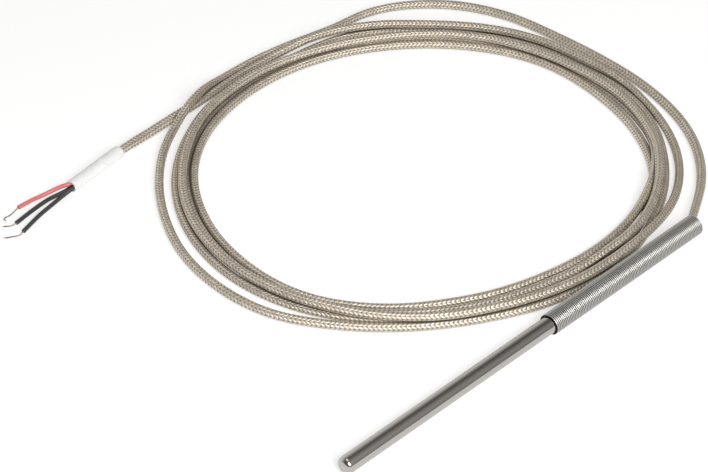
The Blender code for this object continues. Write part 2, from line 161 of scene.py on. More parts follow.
# Sleeve and leads
SLEEVE_OD = 0.0050
SLEEVE_WALL = 0.0005
SLEEVE_START = (-0.0243, 0.1853)
SLEEVE_END = (-0.0517, 0.1808)
SLEEVE_COVER = 0.0130
BUNDLE_RADIUS = 0.0011
RED_ROUTE = [
    (-54.2, 183.1, 2.9), (-58.1, 185.0, 1.5), (-62.3, 186.1, 0.8),
    (-66.7, 186.5, 0.8), (-72.2, 186.4, 0.8),
]
BLACK_1_ROUTE = [
    (-56.2, 182.0, 1.0), (-60.2, 182.5, 0.8), (-64.3, 182.2, 0.8),
    (-71.0, 181.1, 0.8), (-78.7, 179.5, 0.8),
]
BLACK_2_ROUTE = [
    (-56.7, 180.0, 1.1), (-63.5, 178.7, 0.8), (-69.4, 177.3, 0.8),
    (-74.6, 175.6, 0.8), (-80.1, 173.7, 0.8),
]
RED_STRAND = [
    (-75.0, 185.9, 0.30), (-77.4, 185.4, 0.26), (-79.3, 185.5, 0.26),
    (-80.3, 184.7, 0.26), (-80.0, 183.5, 0.26),
]
BLACK_1_STRAND = [(-80.6, 180.0, 0.30), (-82.0, 180.9, 0.26), (-83.6, 182.1, 0.26)]
BLACK_2_STRAND = [(-82.1, 173.4, 0.30), (-83.9, 174.1, 0.26), (-85.6, 175.1, 0.26), (-87.6, 176.2, 0.26)]

# Strands of a bare end: their radius, mesh step, how far out they lie and the length of one twist
STRAND_R = 0.000075
STRAND_STEP = 0.00012
STRAND_OUT = 0.00015
STRAND_TWIST = 0.0030
STRAND_LOWEST = 0.00009

# Camera, lights and the room. A tone of the room belongs to a direction round the sheath, from the front at 0
# over the top to behind at 1, and the room gets dimmer towards both of the sheath's ends.
CAMERA_PLACE = (-0.47236, -0.38080, 0.50240)
CAMERA_TILT = 53.0
SENSOR_WIDTH = 36.0
FLOOR_PLACE = (0.05, 0.09, -0.0001)
FLOOR_RADIUS = 3.0
FLOOR_GLOW_UNSEEN = 0.55
KEY_PLACE = (-0.35, -0.63, 0.56)
KEY_SIZE = 0.50
TOP_PLACE = (-0.10, 0.05, 1.20)
TOP_SIZE = 0.70
TOP_SHARE = 0.15
LIGHTS_AIM = (0.05, 0.08, 0.0)
ROOM_TONES = [
    (0.00, 0.28), (0.10, 0.33), (0.24, 0.38), (0.34, 0.31), (0.44, 0.20), (0.52, 0.14), (0.60, 0.15),
    (0.67, 0.32), (0.76, 0.56), (0.88, 0.80), (1.0, 0.92),
]
ROOM_TINT = (1.0, 0.985, 0.96)
ROOM_DIMS = (0.40, 0.90)
ROOM_STRENGTH = (1.08, 0.50)


class StageSettings(bpy.types.PropertyGroup):
    floor_colour: FloatVectorProperty(
        name="Floor", description="Colour of the floor",
        subtype="COLOR", size=3, min=0, max=1, default=(0.58, 0.58, 0.58),
    )
    floor_glow: FloatProperty(
        name="Floor glow", description="Light that the floor shows the camera", min=0, default=0.56
    )
    key_power: FloatProperty(
        name="Key light", description="Power of the soft light by the camera", min=0, default=8.5
    )
    lens: FloatProperty(
        name="Lens", description="Focal length in mm on a 36 mm sensor", min=1, default=116.95
    )


class CableSettings(bpy.types.PropertyGroup):
    diameter: FloatProperty(
        name="Diameter", description="Cable diameter", unit="LENGTH", min=0.001, default=CORD_D
    )
    strand_pitch: FloatProperty(
        name="Strand pitch", description="Length of one chevron of the braid",
        unit="LENGTH", min=0.0005, default=0.00165,
    )
    ring_spacing: FloatProperty(
        name="Ring spacing", description="Distance between the mesh's rings",
        unit="LENGTH", min=0.0005, default=0.00125,
    )
    sides: IntProperty(name="Sides", description="Sides of the cable's mesh", min=6, default=18)
    colour: FloatVectorProperty(
        name="Braid", description="Colour of the braid",
        subtype="COLOR", size=3, min=0, max=1, default=(0.80, 0.72, 0.61),
    )


class SpringSettings(bpy.types.PropertyGroup):
    wire_diameter: FloatProperty(
        name="Wire", description="Wire diameter", unit="LENGTH", min=0.0001, default=WIRE_D
    )
    turns: IntProperty(name="Turns", description="Turns of the spring", min=1, default=SPRING_TURNS)
    steps: IntProperty(name="Steps", description="Mesh steps in a turn", min=8, default=32)
    colour: FloatVectorProperty(
        name="Spring", description="Colour of the wire",
        subtype="COLOR", size=3, min=0, max=1, default=(0.64, 0.63, 0.60),
    )


class SheathSettings(bpy.types.PropertyGroup):
    diameter: FloatProperty(
        name="Diameter", description="Sheath diameter", unit="LENGTH", min=0.001, default=2 * SHEATH_R
    )
    tip_round: FloatProperty(
        name="Tip", description="Radius of the tip's edge", unit="LENGTH", min=0.0001, default=TIP_ROUND
    )
    colour: FloatVectorProperty(
        name="Sheath", description="Colour of the metal",
        subtype="COLOR", size=3, min=0, max=1, default=(0.57, 0.55, 0.52),
    )


class LeadSettings(bpy.types.PropertyGroup):
    diameter: FloatProperty(
        name="Diameter", description="Lead diameter", unit="LENGTH", min=0.0002, default=LEAD_D
    )
    red: FloatVectorProperty(
        name="Red", description="Colour of the red lead",
        subtype="COLOR", size=3, min=0, max=1, default=(0.80, 0.055, 0.05),
    )
    black: FloatVectorProperty(
        name="Black", description="Colour of the black leads",
        subtype="COLOR", size=3, min=0, max=1, default=(0.006, 0.0055, 0.006),
    )
    sleeve: FloatVectorProperty(
        name="Sleeve", description="Colour of the sleeve",
        subtype="COLOR", size=3, min=0, max=1, default=(0.90, 0.90, 0.89),
    )


# Meshes

def deselect():
    if bpy.context.object and bpy.context.object.mode != "OBJECT":
        bpy.ops.object.mode_set(mode="OBJECT")
    bpy.ops.object.select_all(action="DESELECT")


def activate(obj):
    deselect()
    obj.select_set(True)
    bpy.context.view_layer.objects.active = obj


# Select the faces, edges or vertices of the active mesh that a test on their middle passes
def select_where(kind, test):
    bpy.ops.object.mode_set(mode="EDIT")
    bpy.ops.mesh.select_mode(type=kind)
    bpy.ops.mesh.select_all(action="DESELECT")
    bpy.ops.object.mode_set(mode="OBJECT")
    mesh = bpy.context.object.data
    if kind == "FACE":
        for face in mesh.polygons:
            face.select = test(face.center, face.normal)
    elif kind == "EDGE":
        for edge in mesh.edges:
            a, b = (mesh.vertices[i].co for i in edge.vertices)
            edge.select = test(a, b)
    else:
        for vertex in mesh.vertices:
            vertex.select = test(vertex.co)
    bpy.ops.object.mode_set(mode="EDIT")


def apply_place(obj):
    activate(obj)
    bpy.ops.object.transform_apply(location=True, rotation=True, scale=True)


def name_piece(obj, name):
    obj.name = name
    obj.data.name = name
    return obj


# Frames carried along a path without twist
def carried_frames(path):
    ahead = np.gradient(path, axis=0)
    ahead /= np.linalg.norm(ahead, axis=1)[:, None]
    side = np.cross(ahead[0], (0.0, 0.0, 1.0))
    side /= np.linalg.norm(side)
    sides = [side]
    for t in ahead[1:]:
        side = side - t * np.dot(side, t)
        side /= np.linalg.norm(side)
        sides.append(side)
    sides = np.array(sides)
    return sides, np.cross(sides, ahead)


# Closed tube of rings round the path; its UV map runs in strand pitches along and in turns round it
def tube_mesh(name, path, radii, sides, pitch, start=0.0):
    path = np.array(path)
    radii = np.broadcast_to(radii, len(path))
    across, up = carried_frames(path)
    angles = np.arange(sides) * 2 * math.pi / sides
    ring = np.cos(angles)[None, :, None] * across[:, None, :] + np.sin(angles)[None, :, None] * up[:, None, :]
    points = (path[:, None, :] + ring * radii[:, None, None]).reshape(-1, 3)
    count = len(path)
    i = np.arange(count - 1)[:, None] * sides
    j = np.arange(sides)[None, :]
    k = (j + 1) % sides
    quads = np.stack([i + j, i + sides + j, i + sides + k, i + k], axis=-1).reshape(-1, 4)
    faces = quads.tolist() + [list(range(sides)), list(range((count - 1) * sides, count * sides))[::-1]]
    mesh = bpy.data.meshes.new(name)
    mesh.from_pydata(points.tolist(), [], faces)
    along = start + np.concatenate([[0.0], np.cumsum(np.linalg.norm(np.diff(path, axis=0), axis=1))])
    along /= pitch
    u = np.stack([along[:-1], along[1:], along[1:], along[:-1]], axis=-1)[:, None, :].repeat(sides, axis=1)
    v = np.stack([j[0], j[0], j[0] + 1, j[0] + 1], axis=-1)[None].repeat(count - 1, axis=0) / sides
    uv = np.stack([u, v], axis=-1).reshape(-1, 2)
    caps = np.zeros((2 * sides, 2))
    layer = mesh.uv_layers.new(name="Along")
    layer.data.foreach_set("uv", np.concatenate([uv, caps]).ravel())
    mesh.polygons.foreach_set("use_smooth", [True] * len(quads) + [False, False])
    mesh.update()
    obj = bpy.data.objects.new(name, mesh)
    bpy.context.scene.collection.objects.link(obj)
    return obj


# Smooth run through keys of a rising first value: cubic pieces with slopes taken from the neighbours
def through_keys(keys, step):
    keys = np.array(keys, float)
    last = len(keys) - 1
    slopes = [keys[min(i + 1, last)] - keys[max(i - 1, 0)] for i in range(last + 1)]
    slopes = [s / s[0] for s in slopes]
    run = []
    for i in range(last):
        span = keys[i + 1][0] - keys[i][0]
        count = max(1, round(span / step))
        for t in np.arange(count) / count:
            a = (2 * t**3 - 3 * t**2 + 1) * keys[i] + (3 * t**2 - 2 * t**3) * keys[i + 1]
            b = (t**3 - 2 * t**2 + t) * span * slopes[i] + (t**3 - t**2) * span * slopes[i + 1]
            run.append(a + b)
    run.append(keys[last])
    return np.array(run)


# Evenly spaced points along a polyline
def evenly(places, spacing):
    places = np.array(places)
    along = np.concatenate([[0.0], np.cumsum(np.linalg.norm(np.diff(places, axis=0), axis=1))])
    count = max(2, round(along[-1] / spacing) + 1)
    at = np.linspace(0.0, along[-1], count)
    return np.stack([np.interp(at, along, places[:, k]) for k in range(3)], axis=-1)


def smooth_route(points, spacing):
    keys = [(float(i), *p) for i, p in enumerate(points)]
    return evenly(through_keys(keys, 0.125)[:, 1:], spacing)


def eased(path, rounds, keep):
    path = path.copy()
    for _ in range(rounds):
        before = path[keep - 1 : -keep - 1]
        after = path[keep + 1 : len(path) - keep + 1]
        path[keep:-keep] = 0.25 * before + 0.5 * path[keep:-keep] + 0.25 * after
    return path


# Cable route

# The cable lies a little to the back inside the spring, then leans to the coil's side at the far end
def cable_side(x):
    lean_start = LEAN_END_X - LEAN_LENGTH
    back = (x - SEAL_BACK_X) / (lean_start - SEAL_BACK_X)
    side = -LEAN_BACK * min(1.0, max(0.0, back))
    return side + (EXIT_SIDE + LEAN_BACK) * max(0.0, (x - lean_start) / LEAN_LENGTH) ** 3


def inside_places(first, last, count):
    xs = [first + (last - first) * i / count for i in range(count + 1)]
    return [(x, cable_side(x), AXIS_Z) for x in xs]


def sleeve_direction():
    return Vector((SLEEVE_END[0] - SLEEVE_START[0], SLEEVE_END[1] - SLEEVE_START[1], 0.0)).normalized()


def on_sleeve(distance):
    return Vector((*SLEEVE_START, SLEEVE_OD / 2)) + sleeve_direction() * distance


def sleeve_length():
    return math.hypot(SLEEVE_END[0] - SLEEVE_START[0], SLEEVE_END[1] - SLEEVE_START[1])


# Turns of the coil, worked out from their keys in steps of 1.5 degrees, then the straight end in the sleeve
def laid_out():
    run = through_keys(CABLE_KEYS, 1.5)
    angles = np.radians(COIL_ZERO + run[:, 0])
    x = COIL_CENTRE[0] + run[:, 1] * 0.001 * np.cos(angles)
    y = COIL_CENTRE[1] + run[:, 1] * 0.001 * np.sin(angles)
    coil = np.stack([x, y, run[:, 2] * CORD_D], axis=-1)
    start = inside_places(CORD_START_X, LEAN_END_X, 4)
    end = [tuple(on_sleeve(d)) for d in (-0.004, 0.004, SLEEVE_COVER)]
    return np.vstack([start, coil, end])


# Turns that come nearer than BESIDE move apart, each by half, until they lie beside or on each other
def settled(path, spacing):
    hold = np.ones(len(path))
    hold[:HELD_AT_START] = 0.0
    hold[-HELD_AT_END:] = 0.0
    apart = round(SAME_TURN / spacing)
    for _ in range(SETTLE_ROUNDS):
        squares = np.einsum("ij,ij->i", path, path)
        gaps = squares[:, None] + squares[None, :] - 2 * path @ path.T
        i, j = np.where(gaps < BESIDE**2)
        far = j - i > apart
        i, j = i[far], j[far]
        if len(i) == 0:
            break
        between = path[j] - path[i]
        length = np.linalg.norm(between, axis=1)[:, None]
        half = (BESIDE - length) * between / np.maximum(length, 1e-9) / 2
        push = np.zeros_like(path)
        met = np.zeros(len(path))
        np.add.at(push, i, -half)
        np.add.at(push, j, half)
        np.add.at(met, i, 1)
        np.add.at(met, j, 1)
        push *= (hold / np.maximum(met, 1))[:, None]
        for _ in range(PUSH_EASING):
            push[1:-1] = 0.25 * push[:-2] + 0.5 * push[1:-1] + 0.25 * push[2:]
        path = path + push * PUSH
        path[:, 2] = np.maximum(path[:, 2], CORD_D / 2)
    return path


def cable_route(spacing):
    step = CORD_D / 2
    path = eased(evenly(laid_out(), step), 12, 2)
    path = eased(settled(path, step), 6, 2)
    path = evenly(path, spacing)
    path[:, 2] = np.maximum(path[:, 2], cable_radii(path, CORD_D / 2))
    return path


# Radius of each ring: the braid is a little fuller where the cable lies by itself, at both its ends
def cable_radii(path, radius):
    along = np.concatenate([[0.0], np.cumsum(np.linalg.norm(np.diff(path, axis=0), axis=1))])
    first = np.interp(along, FULL_AT_START, (0.0, 1.0, 1.0, 0.0))
    last = np.interp(along[-1] - along, FULL_AT_END, (0.0, 1.0, 1.0, 0.0))
    return radius + FULLER * (first + last)


# Painted shade on each vertex of the cable by how near another turn or the floor is: 0 at a distance, 1 where
# they touch
def painted_shade_mask(points, rings, sides):
    apart = round(SAME_TURN / np.linalg.norm(rings[1] - rings[0]))
    number = np.arange(len(rings))
    values = []
    for i, ring in enumerate(rings):
        around = points[i * sides : (i + 1) * sides]
        gap = around[:, 2] / PAINTED_SHADE_REACH
        near = np.linalg.norm(rings - ring, axis=1) < PAINTED_SHADE_NEIGHBOURS
        others = rings[near & (np.abs(number - i) > apart)]
        if len(others):
            away = np.linalg.norm(around[:, None] - others[None], axis=2).min(axis=1)
            gap = np.minimum(gap, (away - CORD_D / 2) / PAINTED_SHADE_REACH)
        value = 1.0 - np.clip(gap, 0.0, 1.0)
        values.append(value * value * (3 - 2 * value))
    return np.concatenate(values)


# Shader helpers

class Graph:
    """Adds nodes to a tree and links them by value or socket."""

    def __init__(self, tree):
        self.tree = tree

    def node(self, kind, settings=None, **inputs):
        node = self.tree.nodes.new(kind)
        for key, value in (settings or {}).items():
            setattr(node, key, value)
        for key, value in inputs.items():
            self.put(node.inputs[key.replace("_", " ")], value)
        return node

    def put(self, socket, value):
        if isinstance(value, bpy.types.NodeSocket):
            self.tree.links.new(value, socket)
        else:
            socket.default_value = value

    def math(self, operation, *values, clamp=False):
        node = self.tree.nodes.new("ShaderNodeMath")
        node.operation = operation
        node.use_clamp = clamp
        for socket, value in zip(node.inputs, values):
            self.put(socket, value)
        return node.outputs[0]

    def mix(self, factor, a, b):
        node = self.tree.nodes.new("ShaderNodeMix")
        node.data_type = "RGBA"
        self.put(node.inputs[0], factor)
        self.put(node.inputs[6], a)
        self.put(node.inputs[7], b)
        return node.outputs[2]

    def range(self, value, low, high, to_low, to_high):
        node = self.tree.nodes.new("ShaderNodeMapRange")
        node.interpolation_type = "SMOOTHSTEP"
        for socket, v in zip(node.inputs, (value, low, high, to_low, to_high)):
            self.put(socket, v)
        return node.outputs[0]


def rgba(colour):
    return (*colour, 1.0)


def new_group(name, inputs, outputs):
    group = bpy.data.node_groups.new(name, "ShaderNodeTree")
    for label, kind, default in inputs:
        socket = group.interface.new_socket(label, in_out="INPUT", socket_type=kind)
        if default is not None:
            socket.default_value = default
    for label, kind in outputs:
        group.interface.new_socket(label, in_out="OUTPUT", socket_type=kind)
    graph = Graph(group)
    return group, graph, graph.node("NodeGroupInput"), graph.node("NodeGroupOutput")


# Flat strands braided in columns round the cable: chevrons along the UV map
def braid_group():
    name = "braid_strands"
    if name in bpy.data.node_groups:
        return bpy.data.node_groups[name]
    group, g, given, out = new_group(
        name,
        [
            ("Along", "NodeSocketVector", None),
            ("Columns", "NodeSocketFloat", 8.0),
            ("Slant", "NodeSocketFloat", 0.8),
            ("Wires", "NodeSocketFloat", 4.0),
        ],
        [("Height", "NodeSocketFloat"), ("Gap", "NodeSocketFloat"), ("Strand", "NodeSocketFloat")],
    )
    split = g.node("ShaderNodeSeparateXYZ", Vector=given.outputs["Along"])
    column = g.math("MULTIPLY", split.outputs[1], given.outputs["Columns"])
    inside = g.math("FRACT", column)
    fold = g.math("PINGPONG", column, 1.0)
    phase = g.math("ADD", split.outputs[0], g.math("MULTIPLY", fold, given.outputs["Slant"]))
    across = g.math("FRACT", phase)
    bow = g.math("POWER", g.math("SINE", g.math("MULTIPLY", across, math.pi)), 0.55)
    float_over = g.math("SINE", g.math("MULTIPLY", inside, math.pi))
    wire_turns = g.math("MULTIPLY", given.outputs["Wires"], 2 * math.pi)
    wires = g.math("COSINE", g.math("MULTIPLY", across, wire_turns))
    raised = g.math("MULTIPLY", bow, g.math("MULTIPLY_ADD", float_over, 0.6, 0.4))
    height = g.math("MULTIPLY_ADD", wires, 0.05, raised)
    number = g.math("ADD", g.math("FLOOR", phase), g.math("MULTIPLY", g.math("FLOOR", column), 17.0))
    noise = g.node("ShaderNodeTexWhiteNoise", {"noise_dimensions": "1D"}, W=number)
    g.put(out.inputs["Height"], height)
    g.put(out.inputs["Gap"], g.range(raised, 0.20, 0.72, 1.0, 0.0))
    g.put(out.inputs["Strand"], noise.outputs["Value"])
    return group


# Fine marks drawn along one axis of the metal, with slow changes of tone
def drawn_group():
    name = "drawn_metal"
    if name in bpy.data.node_groups:
        return bpy.data.node_groups[name]
    group, g, given, out = new_group(
        name,
        [
            ("Place", "NodeSocketVector", None),
            ("Stretch", "NodeSocketVector", (40.0, 2600.0, 2600.0)),
            ("Smudge", "NodeSocketFloat", 160.0),
        ],
        [("Lines", "NodeSocketFloat"), ("Smear", "NodeSocketFloat")],
    )
    stretched = g.node("ShaderNodeVectorMath", {"operation": "MULTIPLY"})
    g.put(stretched.inputs[0], given.outputs["Place"])
    g.put(stretched.inputs[1], given.outputs["Stretch"])
    lines = g.node("ShaderNodeTexNoise", Vector=stretched.outputs[0], Scale=1.0, Detail=3.0, Roughness=0.6)
    smear = g.node("ShaderNodeTexNoise", Vector=given.outputs["Place"], Detail=3.0, Roughness=0.5)
    g.put(smear.inputs["Scale"], given.outputs["Smudge"])
    g.put(out.inputs["Lines"], lines.outputs[0])
    g.put(out.inputs["Smear"], smear.outputs[0])
    return group


def new_material(name):
    mat = bpy.data.materials.new(name)
    mat.use_nodes = True
    mat.node_tree.nodes.clear()
    g = Graph(mat.node_tree)
    shader = g.node("ShaderNodeBsdfPrincipled")
    g.put(g.node("ShaderNodeOutputMaterial").inputs["Surface"], shader.outputs["BSDF"])
    return mat, g, shader


def use_group(g, group, **inputs):
    node = g.node("ShaderNodeGroup", {"node_tree": group}, **inputs)
    return node.outputs


def bump(g, shader, height, strength, distance):
    node = g.node("ShaderNodeBump", Height=height, Strength=strength, Distance=distance)
    g.put(shader.inputs["Normal"], node.outputs["Normal"])


def object_place(g):
    return g.node("ShaderNodeTexCoord").outputs["Object"]


def braided_metal(settings):
    name = "braided_cable"
    if name in bpy.data.materials:
        return bpy.data.materials[name]
    mat, g, shader = new_material(name)
    uv = g.node("ShaderNodeUVMap", {"uv_map": "Along"}).outputs["UV"]
    braid = use_group(g, braid_group(), Along=uv)
    dust = g.node("ShaderNodeTexNoise", Vector=object_place(g), Scale=220.0, Detail=3.0).outputs[0]
    colour = Vector(settings.colour)
    bright = rgba(colour * 1.24)
    dull = rgba(colour * 0.94)
    strand = g.mix(g.math("MULTIPLY_ADD", braid["Strand"], 0.7, g.math("MULTIPLY", dust, 0.3)), dull, bright)
    # Painted shade in the gaps where the braid's strands dip under each other
    gap_shade = rgba((colour.x * 0.12, colour.y * 0.105, colour.z * 0.08))
    woven = g.mix(g.math("MULTIPLY", braid["Gap"], 0.88), strand, gap_shade)
    # Painted shade where the turns touch each other and the floor
    painted_shade = g.node("ShaderNodeAttribute", {"attribute_name": "PaintedShade"}).outputs["Fac"]
    g.put(shader.inputs["Base Color"], g.mix(g.math("MULTIPLY", painted_shade, 0.90), woven, rgba(PAINTED_SHADE_TONE)))
    g.put(shader.inputs["Metallic"], g.range(braid["Gap"], 0.0, 1.0, 0.9, 0.1))
    g.put(shader.inputs["Roughness"], g.range(dust, 0.35, 0.65, 0.44, 0.56))
    bump(g, shader, braid["Height"], 0.9, 0.00030)
    return mat


def sheath_metal(settings):
    mat, g, shader = new_material("sheath_metal")
    marks = use_group(g, drawn_group(), Place=object_place(g))
    colour = Vector(settings.colour)
    g.put(shader.inputs["Base Color"], g.mix(marks["Lines"], rgba(colour * 0.93), rgba(colour * 1.05)))
    shader.inputs["Metallic"].default_value = 1.0
    g.put(shader.inputs["Roughness"], g.range(marks["Smear"], 0.3, 0.7, 0.09, 0.14))
    bump(g, shader, marks["Lines"], 0.25, 0.00001)
    return mat


# Painted shade in the grooves between turns, by the distance from the axis; the crest of each turn keeps the
# wire's colour
def spring_metal(settings):
    mat, g, shader = new_material("spring_wire")
    marks = use_group(g, drawn_group(), Place=object_place(g), Smudge=90.0)
    colour = Vector(settings.colour)
    from_axis = g.node("ShaderNodeVectorMath", {"operation": "SUBTRACT"})
    g.put(from_axis.inputs[0], object_place(g))
    g.put(from_axis.inputs[1], (0.0, 0.0, AXIS_Z))
    across = g.node("ShaderNodeVectorMath", {"operation": "MULTIPLY"})
    g.put(across.inputs[0], from_axis.outputs[0])
    g.put(across.inputs[1], (0.0, 1.0, 1.0))
    reach = g.node("ShaderNodeVectorMath", {"operation": "LENGTH"})
    g.put(reach.inputs[0], across.outputs[0])
    unshaded_crest = g.range(reach.outputs["Value"], COIL_MEAN_R + 0.00016, COIL_MEAN_R + 0.00034, 0.0, 1.0)
    worn = g.mix(marks["Smear"], rgba(colour * 0.96), rgba(colour * 1.04))
    # Painted shade in the grooves: a tenth of the wire's colour below the crest
    g.put(shader.inputs["Base Color"], g.mix(unshaded_crest, rgba(colour * 0.10), worn))
    shader.inputs["Metallic"].default_value = 1.0
    g.put(shader.inputs["Roughness"], g.range(marks["Smear"], 0.3, 0.7, 0.40, 0.44))
    return mat


# Insulation with a fine grain and faint patches
def insulation(name, colour, roughness):
    if name in bpy.data.materials:
        return bpy.data.materials[name]
    mat, g, shader = new_material(name)
    place = object_place(g)
    patches = g.node("ShaderNodeTexNoise", Vector=place, Scale=260.0, Detail=4.0).outputs[0]
    grain = g.node("ShaderNodeTexNoise", Vector=place, Scale=2600.0, Detail=2.0).outputs[0]
    light = tuple(min(1.0, c * 1.20 + 0.002) for c in colour)
    shader.inputs["Specular IOR Level"].default_value = 0.3
    g.put(shader.inputs["Base Color"], g.mix(patches, rgba([c * 0.82 for c in colour]), rgba(light)))
    g.put(shader.inputs["Roughness"], g.range(patches, 0.3, 0.7, roughness - 0.08, roughness + 0.08))
    bump(g, shader, grain, 0.2, 0.00004)
    return mat


def sleeve_plastic(settings):
    mat, g, shader = new_material("shrunk_sleeve")
    place = object_place(g)
    patches = g.node("ShaderNodeTexNoise", Vector=place, Scale=190.0, Detail=3.0).outputs[0]
    colour = Vector(settings.sleeve)
    g.put(shader.inputs["Base Color"], g.mix(patches, rgba(colour * 0.95), rgba(colour * 1.03)))
    g.put(shader.inputs["Roughness"], g.range(patches, 0.3, 0.7, 0.30, 0.42))
    shader.inputs["Subsurface Weight"].default_value = 0.35
    shader.inputs["Subsurface Scale"].default_value = 0.0006
    shader.inputs["Subsurface Radius"].default_value = (1.0, 0.9, 0.8)
    bump(g, shader, patches, 0.15, 0.00025)
    return mat


def strand_metal():
    name = "bare_strands"
    if name in bpy.data.materials:
        return bpy.data.materials[name]
    mat, g, shader = new_material(name)
    patches = g.node("ShaderNodeTexNoise", Vector=object_place(g), Scale=900.0, Detail=3.0).outputs[0]
    g.put(shader.inputs["Base Color"], g.mix(patches, (0.30, 0.19, 0.16, 1.0), (0.55, 0.42, 0.37, 1.0)))
    shader.inputs["Metallic"].default_value = 0.7
    g.put(shader.inputs["Roughness"], g.range(patches, 0.3, 0.7, 0.35, 0.5))
    return mat


# A cast, fired or drawn finish for the pieces inside the sheath
def inner_finish(name, low, high, metallic, roughness, scale):
    mat, g, shader = new_material(name)
    patches = g.node("ShaderNodeTexNoise", Vector=object_place(g), Scale=scale, Detail=4.0).outputs[0]
    g.put(shader.inputs["Base Color"], g.mix(patches, rgba(low), rgba(high)))
    shader.inputs["Metallic"].default_value = metallic
    g.put(shader.inputs["Roughness"], g.range(patches, 0.3, 0.7, roughness - 0.06, roughness + 0.06))
    bump(g, shader, patches, 0.2, 0.00003)
    return mat


def finish_piece(obj, mat, slot, *nodes):
    obj.data.materials.clear()
    obj.data.materials.append(mat)
    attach(obj, "root")
    if nodes:
        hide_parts(*nodes)
    return obj


class PROBE_OT_stage(bpy.types.Operator):
    """Adds the camera, the pale floor, the soft lights and the grey room round them"""

    bl_idname = "probe.stage"
    bl_label = "Camera, floor and lights"

    def execute(self, context):
        settings = context.scene.probe_stage
        deselect()
        turn = (math.radians(CAMERA_TILT), 0.0, math.radians(COIL_ZERO))
        bpy.ops.object.camera_add(location=CAMERA_PLACE, rotation=turn)
        camera = context.object
        camera.data.sensor_width = SENSOR_WIDTH
        camera.data.lens = settings.lens
        camera.data.clip_start = 0.01
        context.scene.camera = camera
        self.floor(settings)
        self.lights(settings)
        self.room(context)
        return {"FINISHED"}

    # The floor shows the camera its full glow and gives less of it to the pieces, whose gaps stay dark
    def floor(self, settings):
        deselect()
        bpy.ops.mesh.primitive_circle_add(
            vertices=96, radius=FLOOR_RADIUS, fill_type="NGON", location=FLOOR_PLACE
        )
        floor = name_piece(bpy.context.object, "floor")
        apply_place(floor)
        mat, g, shader = new_material("pale_floor")
        shader.inputs["Base Color"].default_value = rgba(settings.floor_colour)
        shader.inputs["Roughness"].default_value = 0.9
        shader.inputs["Specular IOR Level"].default_value = 0.1
        shader.inputs["Emission Color"].default_value = (1.0, 1.0, 1.0, 1.0)
        seen = g.node("ShaderNodeLightPath").outputs["Is Camera Ray"]
        unseen = settings.floor_glow * FLOOR_GLOW_UNSEEN
        g.put(shader.inputs["Emission Strength"], g.range(seen, 0.0, 1.0, unseen, settings.floor_glow))
        floor.data.materials.append(mat)

    def lights(self, settings):
        rows = [
            ("key", KEY_PLACE, KEY_SIZE, settings.key_power),
            ("top", TOP_PLACE, TOP_SIZE, settings.key_power * TOP_SHARE),
        ]
        for name, place, size, power in rows:
            deselect()
            bpy.ops.object.light_add(type="AREA", location=place)
            light = bpy.context.object
            light.name = name + "_light"
            light.data.shape = "DISK"
            light.data.size = size
            light.data.energy = power
            aim = Vector(LIGHTS_AIM) - light.location
            light.rotation_euler = aim.to_track_quat("-Z", "Y").to_euler()

    # Light behind, dark overhead and mid grey in front of the sheath
    def room(self, context):
        world = bpy.data.worlds.new("studio_room")
        world.use_nodes = True
        world.node_tree.nodes.clear()
        g = Graph(world.node_tree)
        split = g.node("ShaderNodeSeparateXYZ", Vector=g.node("ShaderNodeTexCoord").outputs["Generated"])
        round_sheath = g.math("ARCTAN2", split.outputs[1], split.outputs[2])
        part = g.math("MULTIPLY_ADD", round_sheath, 1 / math.pi, 0.5, clamp=True)
        ramp = g.node("ShaderNodeValToRGB", Fac=part)
        elements = ramp.color_ramp.elements
        while len(elements) < len(ROOM_TONES):
            elements.new(0.5)
        for element, (position, tone) in zip(elements, ROOM_TONES):
            element.position = position
            element.color = rgba([tone * tint for tint in ROOM_TINT])
        sideways = g.math("ABSOLUTE", split.outputs[0])
        strength = g.range(sideways, *ROOM_DIMS, *ROOM_STRENGTH)
        background = g.node("ShaderNodeBackground", Color=ramp.outputs["Color"], Strength=strength)
        g.put(g.node("ShaderNodeOutputWorld").inputs["Surface"], background.outputs[0])
        context.scene.world = world
        context.scene.view_settings.view_transform = "Standard"
        context.scene.view_settings.look = "None"


